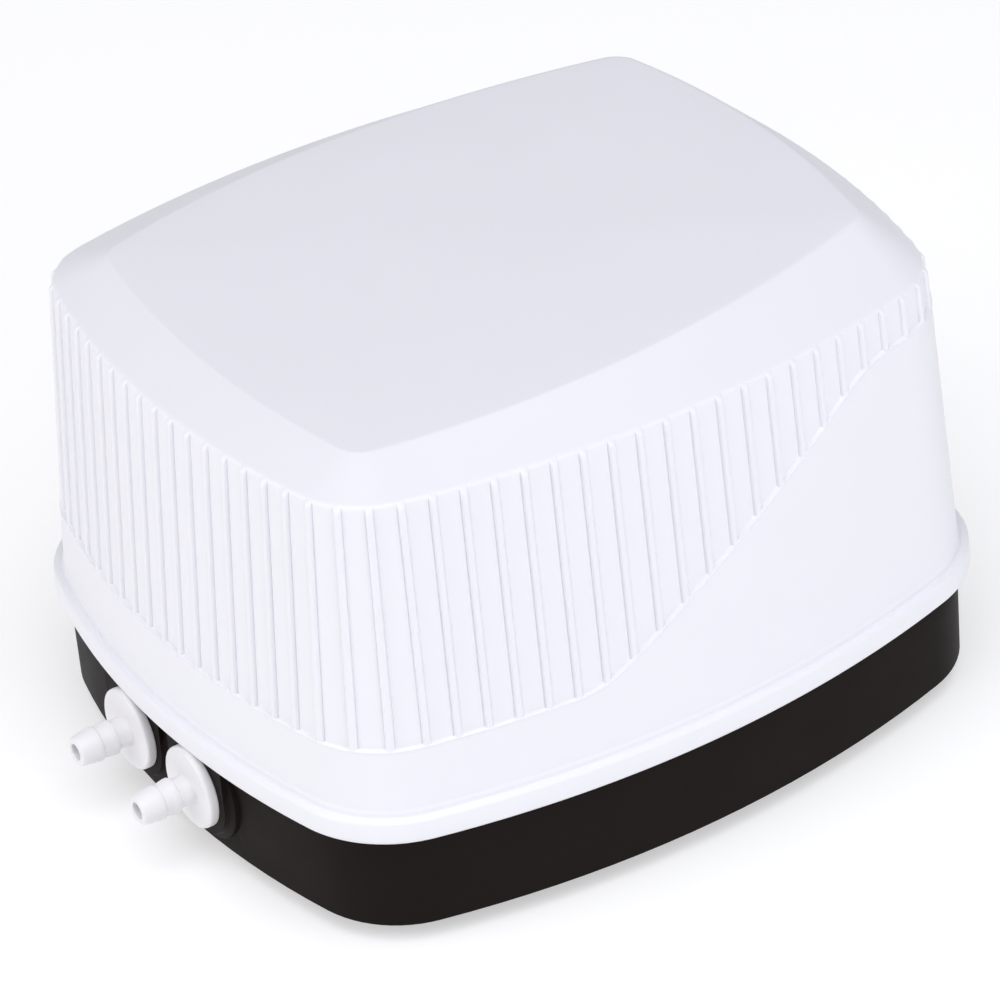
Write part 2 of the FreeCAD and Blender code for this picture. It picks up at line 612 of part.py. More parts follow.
def head_cover():
    """The right outer cover with its outlet channel and the spigot for the air tube."""
    body = rod(HEAD_R, LID_X, HEAD_END, "x", HEAD_AT)
    corner = box((LID_X, HEAD_END), (-15.0, HEAD_Y), (24.0, 30.0))
    way = (TUBE_BEND - TUBE_START).normalize()
    spigot = Part.makeCylinder(2.5, 7.5, TUBE_START - way * 3.0, way)
    bore = Part.makeCylinder(1.2, 14.0, TUBE_START - way * 8.0, way)
    plenum = rod(4.0, LID_X - 1, LID_X + 2.0, "x", (OUTLET_PORT_Y, AXIS_Z))
    channel = box((LID_X - 1, LID_X + 2.0), (-10.5, OUTLET_PORT_Y + 3), (26.0, AXIS_Z))
    return joined([body, corner, spigot]).cut([bore, plenum, channel] + head_holes(LID_X - 1, HEAD_END + 1))


def head_screws():
    one = screw(2.4, 1.0, 1.3, HEAD_END - RING_X)
    return group(pointed(one, V(-1, 0, 0), V(HEAD_END, y, z)) for y, z in head_screw_places())


# ---- the whole object -----------------------------------------------------------------------
single = {
    "cover_shell": cover_shell, "base_tray": base_tray, "cover_screws": cover_screws,
    "rubber_feet": rubber_feet, "filter_cap": filter_cap, "filter_felt": filter_felt,
    "cord_gland": cord_gland, "terminal_block": terminal_block, "coil_leads": coil_leads,
    "mount_plate": mount_plate, "rubber_mounts": rubber_mounts, "mount_screws": mount_screws,
    "coil_bobbin": coil_bobbin, "coil_winding": coil_winding, "core_screws": core_screws,
}
per_side = {
    "outlet_nozzle": outlet_nozzle, "nozzle_seal": nozzle_seal, "air_tube": air_tube,
    "core_stack": core_stack, "core_clamp": core_clamp, "arm": arm, "arm_magnet": arm_magnet,
    "pivot_bracket": pivot_bracket, "pivot_pin": pivot_pin, "diaphragm": diaphragm,
    "diaphragm_washer": diaphragm_washer, "diaphragm_screw": diaphragm_screw,
    "clamp_ring": clamp_ring, "pump_head": pump_head, "inlet_flap": inlet_flap,
    "outlet_flap": outlet_flap, "head_cover": head_cover, "head_screws": head_screws,
}

os.makedirs("parts", exist_ok=True)
REAR_REACH = BASE[0] + RIM_PROUD
TO_ORIGIN = V(0, (NOZZLE_REACH - REAR_REACH) / 2, FOOT_HEIGHT)


def export(name, shape):
    shape.translate(TO_ORIGIN)
    if not shape.isValid():
        print("not valid:", name)
    shape.exportStep("parts/" + name + ".step")


for name, make in single.items():
    export(name, make())
for name, make in per_side.items():
    right = make()
    export(name + "_left", mirrored(right))
    export(name + "_right", right)
print("moved to the origin by", TO_ORIGIN)
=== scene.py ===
"""Visual model of a small two-outlet air pump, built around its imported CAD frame."""
import json
import math

import bmesh
import bpy
import numpy as np
from mathutils import Matrix, Vector
from mathutils.bvhtree import BVHTree


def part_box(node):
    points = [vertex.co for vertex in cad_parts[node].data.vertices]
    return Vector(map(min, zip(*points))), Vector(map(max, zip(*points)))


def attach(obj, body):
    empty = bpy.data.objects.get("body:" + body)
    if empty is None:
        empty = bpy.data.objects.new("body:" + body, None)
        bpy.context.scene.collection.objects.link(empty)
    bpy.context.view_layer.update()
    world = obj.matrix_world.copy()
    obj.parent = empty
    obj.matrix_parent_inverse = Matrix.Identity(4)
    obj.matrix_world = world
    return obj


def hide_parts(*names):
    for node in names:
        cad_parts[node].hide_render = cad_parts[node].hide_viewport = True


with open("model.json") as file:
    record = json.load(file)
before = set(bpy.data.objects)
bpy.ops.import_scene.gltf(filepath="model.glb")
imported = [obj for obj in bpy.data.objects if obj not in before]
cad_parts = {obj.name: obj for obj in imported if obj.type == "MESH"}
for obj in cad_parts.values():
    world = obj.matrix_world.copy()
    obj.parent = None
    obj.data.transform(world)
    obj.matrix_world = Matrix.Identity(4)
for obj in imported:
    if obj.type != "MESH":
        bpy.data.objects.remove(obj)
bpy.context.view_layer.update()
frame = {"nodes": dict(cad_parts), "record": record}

MM = 0.001

# ---- housing dimensions, millimetres, from the middle of the housing at the tray's underside ----
# An outline is (half length, half width, side radius, end radius, corner radius).
BASE = (67.0, 59.1, 183.0, 159.0, 18.4)
SHOULDER = (63.8, 54.3, 196.0, 154.0, 14.8)
LID = (53.6, 43.2, 179.0, 164.0, 5.4)
BASE_HEIGHT = 19.0
RIM_PROUD, RIM_TOP, WALL_FOOT = 2.2, 23.3, 26.8
# how far the rim's face leans in at its top and bottom, and how high its bottom edge turns
RIM_DRAFT, RIM_LIP = 0.15, 0.6
SHOULDER_Z, SHOULDER_TILT, SHOULDER_TAPER, SHOULDER_SHIFT = 76.7, -1.7, 0.02, 0.9
LID_Z, LID_TILT, LID_TAPER, LID_SHIFT = 82.6, 0.85, 0.06, 1.4
LID_RISE = 0.7
LID_EDGE_R = 1.3
COVER_WALL, TONGUE_INSET, TONGUE_HEIGHT = 2.2, 1.4, 3.0
# hair gaps that keep the cover off the tray below it and off the tray's tongue
COVER_GAP, TONGUE_GAP = 0.02, 0.1
# where the plain skirt starts, above the wall's foot
SKIRT_START = 3.4
# ribs in half a side, one corner and half an end of the wall
RIBS_SIDE, RIBS_CORNER, RIBS_END = 9.66, 3.25, 8.09
FRONT_RIBS_SHIFT = 0.8
RIB_HEIGHT, RIB_HALF, RIB_ROUNDNESS = 0.62, 0.64, 2.6
CREASE_DEPTH, CREASE_END = 0.1, 0.9
# a rib's end on the shoulder: half the bend, where its height fades, where its direction turns
TIP_BEND, TIP_FADE, TIP_TURN = 0.6, (-1.15, 0.35), (-0.5, 0.5)
CHAMFER_START = 1.5
FIELD_LOW, FIELD_HIGH, FIELD_START_Y, FIELD_END_Y = 35.0, 68.3, -18.3, 38.5
POST_X, POST_Y, POST_R = 41.0, 50.0, 4.2
PILOT_R, PILOT_DEPTH = 1.75, 12.0
OUTLET_X, OUTLET_Z = 10.0, 11.8
NOZZLE_DISC_BACK, NOZZLE_DISC_T, NOZZLE_DISC_R = 67.8, 1.8, 7.15
NOZZLE_INNER_END, NOZZLE_TIP, SPIGOT_R = 56.0, 79.0, 3.0
COLLAR_BACK, COLLAR_FACE, COLLAR_BORE_R = 65.4, 67.86, 5.0
LATHE_SHARP = 32

cover_low, cover_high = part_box("cover_shell")
ORIGIN = np.array((
    (cover_low.x + cover_high.x) / 2, (cover_low.y + cover_high.y) / 2, cover_low.z - BASE_HEIGHT * MM,
))


# ---- outlines and sections ------------------------------------------------------------------
def outline_arcs(outline):
    """The eight arcs of a pillow rectangle, as rows of (centre x, centre y, radius, start, end)."""
    half_length, half_width, side_r, end_r, corner_r = outline
    side_c, end_c = half_width - side_r, half_length - end_r
    gap = math.hypot(side_c, end_c)
    ux, uy = -side_c / gap, end_c / gap
    reach_side, reach_end = side_r - corner_r, end_r - corner_r
    along = (gap**2 + reach_side**2 - reach_end**2) / (2 * gap)
    off = math.sqrt(reach_side**2 - along**2)
    cx, cy = side_c + ux * along - uy * off, uy * along + ux * off
    low, high = math.atan2(cy, cx - side_c), math.atan2(cy - end_c, cx)
    half, full = math.pi, 2 * math.pi
    return np.array([
        (side_c, 0, side_r, -low, low),
        (cx, cy, corner_r, low, high),
        (0, end_c, end_r, high, half - high),
        (-cx, cy, corner_r, half - high, half - low),
        (-side_c, 0, side_r, half - low, half + low),
        (-cx, -cy, corner_r, half + low, half + high),
        (0, -end_c, end_r, half + high, full - high),
        (cx, -cy, corner_r, full - high, full - low),
    ])


def stations(distances):
    """(arc, fraction) arrays for distances along the shoulder outline."""
    arcs = outline_arcs(SHOULDER)
    lengths = arcs[:, 2] * (arcs[:, 4] - arcs[:, 3])
    ends = np.cumsum(lengths)
    d = np.mod(distances, ends[-1])
    arc = np.searchsorted(ends, d, side="right")
    arc = np.minimum(arc, 7)
    return arc, (d - (ends[arc] - lengths[arc])) / lengths[arc]


def section(outline, at, z, tilt=0.0, taper=0.0, shift=0.0, inset=0.0):
    """Points (N, 3) of one section of the housing at the stations; inset may be an array."""
    arc, fraction = at
    inset = np.broadcast_to(np.asarray(inset, float), fraction.shape)
    nominal = outline_arcs(outline)[arc]
    angle = nominal[:, 3] + (nominal[:, 4] - nominal[:, 3]) * fraction
    radius = nominal[:, 2] - inset
    x, y = nominal[:, 0] + radius * np.cos(angle), nominal[:, 1] + radius * np.sin(angle)
    lean = y / outline[0]
    return np.stack([x * (1 - taper * lean), y + shift, z + tilt * lean], 1)


def shoulder(at, inset=0.0, drop=0.0):
    return section(SHOULDER, at, SHOULDER_Z - drop, SHOULDER_TILT, SHOULDER_TAPER, SHOULDER_SHIFT, inset)


def lid(at, inset=0.0, drop=0.0):
    return section(LID, at, LID_Z - drop, LID_TILT, LID_TAPER, LID_SHIFT, inset)


def filleted(corners, radii, steps):
    """Rows through the corner rows, with the inner corners rounded to the radii."""
    rows = [corners[0]]
    for index in range(1, len(corners) - 1):
        radius, count = radii[index], steps[index]
        here = corners[index]
        back, ahead = corners[index - 1] - here, corners[index + 1] - here
        back /= np.linalg.norm(back, axis=1, keepdims=True)
        ahead /= np.linalg.norm(ahead, axis=1, keepdims=True)
        turn = np.arccos(np.clip((back * ahead).sum(1), -1, 1))
        reach = (radius / np.tan(turn / 2))[:, None]
        start, end = here + back * reach, here + ahead * reach
        weight = np.sin(turn / 2)[:, None]
        if radius == 0:
            rows.append(here)
            continue
        for step in range(count + 1):
            t = step / count
            a, b, c = (1 - t) ** 2, 2 * t * (1 - t) * weight, t**2
            rows.append((a * start + b * here + c * end) / (a + b + c))
    rows.append(corners[-1])
    return rows


def smooth(low, high, value):
    """0 at low, 1 at high, level at both ends."""
    t = np.clip((value - low) / (high - low), 0, 1)
    return t * t * (3 - 2 * t)


# ---- meshes ---------------------------------------------------------------------------------
def new_object(name, verts, faces, body="housing", smooth_angle=40):
    """A mesh object from millimetre points in the housing's own frame, riding on a body."""
    mesh = bpy.data.meshes.new(name)
    points = np.asarray(verts, float) * MM + ORIGIN
    mesh.from_pydata(points.tolist(), [], faces)
    mesh.validate()
    mesh.polygons.foreach_set("use_smooth", [True] * len(mesh.polygons))
    mesh.set_sharp_from_angle(angle=math.radians(smooth_angle))
    made = bpy.data.objects.new(name, mesh)
    bpy.context.scene.collection.objects.link(made)
    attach(made, body)
    return made


def grid_faces(rows, columns, offset=0, flip=False):
    """Quads of a grid that closes on itself along its columns."""
    faces = []
    for r in range(rows - 1):
        base, above = offset + r * columns, offset + (r + 1) * columns
        for c in range(columns):
            d = (c + 1) % columns
            quad = (base + c, base + d, above + d, above + c)
            faces.append(quad[::-1] if flip else quad)
    return faces


def fan_faces(first, columns, centre, flip=False):
    """Triangles from a closed row of points to one point in its middle."""
    faces = []
    for c in range(columns):
        tri = (first + c, first + (c + 1) % columns, centre)
        faces.append(tri[::-1] if flip else tri)
    return faces


# ---- cover ----------------------------------------------------------------------------------
def field_bottom(y):
    """Height of the lower edge of the ribbed field: low in front, a straight climb, high behind."""
    bend = 5.0
    slope = (FIELD_HIGH - FIELD_LOW) / (FIELD_END_Y - FIELD_START_Y)

    def ramp(d):
        return np.where(np.abs(d) < bend, (d + bend) ** 2 / (4 * bend), np.maximum(d, 0.0))

    return FIELD_LOW + slope * (ramp(y - FIELD_START_Y) - ramp(y - FIELD_END_Y))


def rib_columns():
    """Distances of the mesh columns along the shoulder, and how far each is from its rib."""
    arcs = outline_arcs(SHOULDER)
    lengths = arcs[:, 2] * (arcs[:, 4] - arcs[:, 3])
    counts = (RIBS_SIDE, RIBS_CORNER, RIBS_END)
    quarter = list(zip((lengths[0] / 2, lengths[1], lengths[2] / 2), counts))
    walked, passed = [lengths[0] / 2], [0.0]
    for length, count in (quarter + quarter[::-1]) * 2:
        walked.append(walked[-1] + length)
        passed.append(passed[-1] + count)
    walked = np.array(walked)
    # the front wall's two ends and its middle: its ribs sit a little towards -X
    walked[8:11] -= FRONT_RIBS_SHIFT
    total = int(round(passed[-1]))
    centres = np.interp(np.arange(total) + 0.5, passed, walked)
    lands = np.interp(np.arange(total), passed, walked)
    flank = RIB_HALF * np.sin(np.radians([16, 32, 47, 60, 71, 81, 90]))
    beyond = RIB_HALF + (CREASE_END - RIB_HALF) * np.array([0.15, 0.4, 1.0])
    in_field, far_from_rib = 1.4, 9.0
    half = np.concatenate([flank, beyond, [in_field]])
    across = np.concatenate([-half[::-1], [0.0], half])
    distance = np.concatenate([lands[:, None], centres[:, None] + across[None, :]], 1)
    off = np.broadcast_to(np.concatenate([[far_from_rib], across]), distance.shape)
    return distance.ravel(), np.abs(off).ravel()


def cover():
    """The ribbed cover: rim, skirt, ribbed walls, shoulder, chamfer and lid, with its inside."""
    distance, off = rib_columns()
    at = stations(distance)
    columns = len(distance)

    foot, top, edge = section(BASE, at, WALL_FOOT), shoulder(at), lid(at)
    up = top - foot
    field_z = field_bottom(foot[:, 1] + up[:, 1] * 0.5)
    around = np.roll(foot + top, -1, 0) - np.roll(foot + top, 1, 0)
    outward = np.cross(around, up)
    outward /= np.linalg.norm(outward, axis=1, keepdims=True)
    # how steeply the field's lower edge climbs, taken over a few columns each way
    span = 3
    climb_rate = np.abs(np.roll(field_z, -span) - np.roll(field_z, span)) / np.linalg.norm(
        np.roll(foot, -span, 0) - np.roll(foot, span, 0), axis=1)
    stretch = np.sqrt(1 + climb_rate**2)

    def wall_at(z):
        return foot + up * ((z - WALL_FOOT) / up[:, 2])[:, None]

    def raised(gap):
        """How much of the rib's height is there, at a gap from the rib's middle line."""
        inside = np.clip(gap / RIB_HALF, 0, 1)
        beyond = np.clip((gap - RIB_HALF) / (CREASE_END - RIB_HALF), 0, 1)
        crease = CREASE_DEPTH / RIB_HEIGHT * inside**6 * (1 - beyond) ** 2
        return (1 - inside**RIB_ROUNDNESS) ** (1 / RIB_ROUNDNESS) - crease

    def carved(row, height):
        """A row of the wall at the ribs' level, sunk to the field where height is below 1."""
        return row - outward * (RIB_HEIGHT * (1 - height))[:, None]

    # rim: bottom lip, outer face, rounded top, crisp inner corner at the wall
    rows = filleted([
        section(BASE, at, BASE_HEIGHT + COVER_GAP, inset=TONGUE_INSET - TONGUE_GAP),
        section(BASE, at, BASE_HEIGHT + COVER_GAP, inset=-RIM_PROUD + RIM_DRAFT),
        section(BASE, at, BASE_HEIGHT + RIM_LIP, inset=-RIM_PROUD),
        section(BASE, at, RIM_TOP, inset=-RIM_PROUD + RIM_DRAFT),
        wall_at(RIM_TOP - 0.45) + outward * 0.22,
        wall_at(RIM_TOP + 0.35) + outward * 0.2,
        wall_at(RIM_TOP + 0.95),
        wall_at(WALL_FOOT + SKIRT_START),
    ], [0, 0.25, 0.3, 0.65, 0.2, 0.3, 0.3, 0], [0, 2, 2, 5, 2, 3, 3, 0])[:-1]
    # skirt
    end = field_z - 0.5 * stretch
    for part in (0.0, 0.06, 0.3, 0.6, 0.9, 1.0):
        rows.append(wall_at(WALL_FOOT + SKIRT_START + (end - WALL_FOOT - SKIRT_START) * part))
    # ledge down to the field between the ribs: height past its edge, share of the drop, raised lip
    rib = raised(off)
    for reach, step, bead in ((-0.38, 0.0, 0.0), (-0.28, 0.0, 0.05), (-0.16, 0.0, 0.09), (-0.02, 0.0, 0.07),
                              (0.03, 0.14, 0.0), (0.08, 0.5, 0.0), (0.13, 0.9, 0.0), (0.18, 1.0, 0.0),
                              (0.5, 1.0, 0.0)):
        row = carved(wall_at(field_z + reach * stretch), 1 - (1 - rib) * step)
        rows.append(row + outward * bead)
    # ribbed wall
    low, high = field_z + 1.6 * stretch, top[:, 2] - 1.8
    for part in (0.0, 0.25, 0.5, 0.75, 1.0):
        rows.append(carved(wall_at(low + (high - low) * part), rib))
    # shoulder, where the ribs end in small round tips
    fall = -up / np.linalg.norm(up, axis=1, keepdims=True)
    valley = top - outward * RIB_HEIGHT
    climb = edge - valley
    climb /= np.linalg.norm(climb, axis=1, keepdims=True)
    bend = TIP_BEND
    for reach in (-1.2, -1.0, -0.8, -0.6, -0.4, -0.2, 0.0, 0.2, 0.4, 0.6, 0.85, CHAMFER_START):
        if reach < -bend:
            row = valley - fall * reach
        elif reach > bend:
            row = valley + climb * reach
        else:
            t = (reach + bend) / (2 * bend)
            row = valley + fall * bend * (1 - t) ** 2 + climb * bend * t**2
        height = rib * (1 - smooth(*TIP_FADE, reach))
        turn = smooth(*TIP_TURN, reach)
        lift = outward * (1 - turn) + np.cross(around, climb) / np.linalg.norm(
            np.cross(around, climb), axis=1, keepdims=True) * turn
        rows.append(row + lift * (RIB_HEIGHT * height)[:, None])
    base = valley + climb * CHAMFER_START

    # chamfer, rounded lid edge, slightly crowned lid
    for part in (0.35, 0.7):
        rows.append(base + (edge - base) * part)
    middle = np.array([0.0, LID_SHIFT, LID_Z])

    def lid_at(ring):
        flat = middle + (edge - middle) * ring
        flat[:, 2] += LID_RISE * (1 - ring**2)
        return flat

    before = edge - climb * 2.0
    rows += filleted([before, edge, lid_at(0.9)], [0, LID_EDGE_R, 0], [0, 6, 0])[:-1]
    for ring in (0.93, 0.86, 0.76, 0.64, 0.5, 0.36, 0.22, 0.1):
        rows.append(lid_at(ring))
    outer_rows = len(rows)

    # inside: room for the tray's tongue, wall, shoulder and lid
    inner = [
        section(BASE, at, BASE_HEIGHT + COVER_GAP, inset=TONGUE_INSET - TONGUE_GAP),
        section(BASE, at, BASE_HEIGHT + TONGUE_HEIGHT + 0.8, inset=TONGUE_INSET - TONGUE_GAP),
        section(BASE, at, BASE_HEIGHT + TONGUE_HEIGHT + 2.0, inset=COVER_WALL),
        shoulder(at, COVER_WALL, 1.6),
        lid(at, COVER_WALL, COVER_WALL),
    ]
    inner_rows = filleted(inner, [0, 0, 0, 3.0, 0], [0, 0, 0, 4, 0])[1:]
    inner_lid = inner[-1]
    inner_middle = np.array([0.0, LID_SHIFT, LID_Z - COVER_WALL])
    for ring in (0.7, 0.4, 0.1):
        inner_rows.append(inner_middle + (inner_lid - inner_middle) * ring)

    crown = np.array([[0.0, LID_SHIFT, LID_Z + LID_RISE]])
    verts = np.concatenate([np.concatenate(rows), crown, np.concatenate(inner_rows), inner_middle[None]])
    faces = grid_faces(outer_rows, columns)
    centre = outer_rows * columns
    faces += fan_faces((outer_rows - 1) * columns, columns, centre)
    offset = centre + 1
    faces += grid_faces(len(inner_rows), columns, offset, flip=True)
    faces += fan_faces(offset + (len(inner_rows) - 1) * columns, columns, len(verts) - 1, flip=True)
    for c in range(columns):
        d = (c + 1) % columns
        faces.append((d, c, offset + c, offset + d))
    made = new_object("cover", verts, faces, smooth_angle=60)
    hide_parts("cover_shell")
    return made


# ---- turned pieces --------------------------------------------------------------------------
def lathed(name, node, side, profile, steps=64):
    """A closed solid turned about an outlet's middle line, which runs along -Y; profile is
    (distance, radius) all round, and node is the CAD node that it replaces, or None."""
    middle_x = (1 if side == "right" else -1) * OUTLET_X
    verts, faces = [], []
    count = len(profile)
    for step in range(steps):
        angle = 2 * math.pi * step / steps
        for distance, radius in profile:
            verts.append((middle_x + radius * math.cos(angle), -distance,
                          OUTLET_Z + radius * math.sin(angle)))
    for step in range(steps):
        ahead = (step + 1) % steps
        for index in range(count):
            after = (index + 1) % count
            faces.append((step * count + index, ahead * count + index,
                          ahead * count + after, step * count + after))
    made = new_object(name, verts, faces, smooth_angle=LATHE_SHARP)
    if node:
        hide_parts(node)
    return made


def rounded_profile(corners):
    """Profile points from (distance, radius, fillet) corners of a closed outline."""
    points = []
    for index, (distance, radius, fillet) in enumerate(corners):
        here = np.array([distance, radius])
        back = np.array(corners[index - 1][:2]) - here
        ahead = np.array(corners[(index + 1) % len(corners)][:2]) - here
        if fillet == 0:
            points.append(tuple(here))
            continue
        back, ahead = back / np.linalg.norm(back), ahead / np.linalg.norm(ahead)
        for t in (0.0, 0.25, 0.5, 0.75, 1.0):
            points.append(tuple(here + back * fillet * (1 - t) ** 2 + ahead * fillet * t**2))
    return points


def nozzle(side):
    """Inner spigot, round flange with a soft rim, neck and a two-step barb, bored right through."""
    back, face, tip = NOZZLE_INNER_END, NOZZLE_DISC_BACK + NOZZLE_DISC_T, NOZZLE_TIP
    corners = [
        (back, 1.5, 0), (back, 2.6, 0.3), (57.4, SPIGOT_R, 0.3), (NOZZLE_DISC_BACK, SPIGOT_R, 0),
        (NOZZLE_DISC_BACK, NOZZLE_DISC_R, 0.25), (face, NOZZLE_DISC_R, 0.7), (face, 2.6, 0.35),
        (face + 2.4, 2.55, 0.1), (face + 2.65, 3.05, 0.2), (face + 3.4, 3.05, 0.3), (face + 5.3, 2.7, 0.1),
        (face + 5.5, 3.0, 0.15), (face + 6.1, 3.0, 0.3), (tip, 2.5, 0.4), (tip, 1.45, 0.25),
        (tip - 6.0, 1.4, 0),
    ]
    return lathed("nozzle_" + side, "outlet_nozzle_" + side, side,
                  rounded_profile(corners))


def boss_collar(side):
    """The flared foot of an outlet boss, flat on top where it meets the cover's rim."""
    corners = [
        (COLLAR_BACK, COLLAR_BORE_R, 0), (COLLAR_BACK, 10.1, 0), (66.65, 10.0, 0.2), (67.0, 8.9, 0.3),
        (67.75, 8.6, 0.15), (COLLAR_FACE, 8.0, 0), (COLLAR_FACE, COLLAR_BORE_R, 0),
    ]
    made = lathed("outlet_collar_" + side, None, side, rounded_profile(corners))
    below_cover = 0.03
    roof = ORIGIN[2] + (BASE_HEIGHT - below_cover) * MM
    for vertex in made.data.vertices:
        vertex.co.z = min(vertex.co.z, roof)
    made.data.set_sharp_from_angle(angle=math.radians(LATHE_SHARP))
    return made


def cover_posts(shell, steps=40):
    """The four screw posts inside the cover: round, with a blind pilot hole, rooted in the lid."""
    outside = BVHTree.FromPolygons([v.co[:] for v in shell.data.vertices],
                                   [p.vertices[:] for p in shell.data.polygons])

    def root_at(x, y):
        """Height of the middle of the lid's thickness."""
        above = Vector(np.array([x, y, 2 * LID_Z]) * MM + ORIGIN)
        return (outside.ray_cast(above, Vector((0, 0, -1)))[0].z - ORIGIN[2]) / MM - COVER_WALL / 2

    foot, root = BASE_HEIGHT + 0.05, LID_Z
    verts, faces = [], []
    for sx, sy in ((-1, -1), (1, -1), (1, 1), (-1, 1)):
        profile = rounded_profile([
            (foot, PILOT_R, 0.15), (foot, POST_R, 0.25), (root, POST_R, 0), (root, 0.0, 0),
        ])
        profile += [(foot + PILOT_DEPTH, 0.0), (foot + PILOT_DEPTH, PILOT_R)]
        first, count = len(verts), len(profile)
        # the middle of the root; it and the next point, the hole's end, are on the axis: no face
        on_axis = count - 3
        for step in range(steps):
            angle = 2 * math.pi * step / steps
            for z, radius in profile:
                x, y = sx * POST_X + radius * math.cos(angle), sy * POST_Y + radius * math.sin(angle)
                verts.append((x, y, root_at(x, y) if z == root else z))
        for step in range(steps):
            here, ahead = first + step * count, first + (step + 1) % steps * count
            for index in range(count):
                if index != on_axis:
                    after = (index + 1) % count
                    faces.append((here + index, ahead + index, ahead + after, here + after))
    made = new_object("cover_posts", verts, faces, smooth_angle=LATHE_SHARP)
    work = bmesh.new()
    work.from_mesh(made.data)
    bmesh.ops.remove_doubles(work, verts=work.verts, dist=1e-7)
    bmesh.ops.recalc_face_normals(work, faces=work.faces)
    work.to_mesh(made.data)
    work.free()
    return made


# ---- moulded parts taken from the CAD with their edges rounded ------------------------------
def softened(node, name, body, slot, radius, segments=2, limit=32):
    """A new piece with the CAD node's shape, merged, with its crisp edges rounded and shaded smooth."""
    mesh = frame["nodes"][node].data.copy()
    work = bmesh.new()
    work.from_mesh(mesh)
    bmesh.ops.remove_doubles(work, verts=work.verts, dist=2e-6)
    bmesh.ops.dissolve_limit(work, angle_limit=math.radians(1.0), verts=work.verts, edges=work.edges)
    work.to_mesh(mesh)
    work.free()
    mesh.materials.clear()
    mesh.polygons.foreach_set("use_smooth", [True] * len(mesh.polygons))
    mesh.set_sharp_from_angle(angle=math.radians(limit))
    made = bpy.data.objects.new(name, mesh)
    bpy.context.scene.collection.objects.link(made)
    bevel = made.modifiers.new("edges", "BEVEL")
    bevel.width = radius * MM
    bevel.segments = segments
    bevel.limit_method = "ANGLE"
    bevel.angle_limit = math.radians(limit)
    bevel.use_clamp_overlap = True
    bevel.harden_normals = True
    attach(made, body)
    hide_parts(node)
    paint(made, slot)
    return made


# ---- materials ------------------------------------------------------------------------------
class Nodes:
    """A small helper that adds and links shader nodes."""

    def __init__(self, material):
        material.use_nodes = True
        self.tree = material.node_tree
        self.tree.nodes.clear()
        self.out = self.add("ShaderNodeOutputMaterial")
        self.bsdf = self.add("ShaderNodeBsdfPrincipled")
        self.link(self.bsdf, "BSDF", self.out, "Surface")
        self.place = self.add("ShaderNodeTexCoord")

    def add(self, kind, **inputs):
        node = self.tree.nodes.new(kind)
        for key, value in inputs.items():
            node.inputs[key].default_value = value
        return node

    def link(self, a, output, b, key):
        self.tree.links.new(a.outputs[output], b.inputs[key])

    def stretched(self, scale):
        node = self.add("ShaderNodeMapping", Scale=scale)
        self.link(self.place, "Object", node, "Vector")
        return node

    def noise(self, scale, detail=2.0, stretch=(1, 1, 1), roughness=0.5):
        node = self.add("ShaderNodeTexNoise", Scale=scale, Detail=detail, Roughness=roughness)
        self.link(self.stretched(stretch), "Vector", node, "Vector")
        return node

    def ramp(self, source, output, stops):
        node = self.add("ShaderNodeValToRGB")
        elements = node.color_ramp.elements
        while len(elements) < len(stops):
            elements.new(0.5)
        for element, (position, colour) in zip(elements, stops):
            element.position = position
            element.color = colour
        self.link(source, output, node, "Fac")
        return node

    def spread(self, source, output, low, high, from_low=0.3, from_high=0.7):
        node = self.add("ShaderNodeMapRange")
        for key, value in (("From Min", from_low), ("From Max", from_high),
                           ("To Min", low), ("To Max", high)):
            node.inputs[key].default_value = value
        self.link(source, output, node, "Value")
        return node


def grey(value, tint=(1.0, 1.0, 1.0)):
    """A colour of one brightness, with a slight tint."""
    return (value * tint[0], value * tint[1], value * tint[2], 1.0)


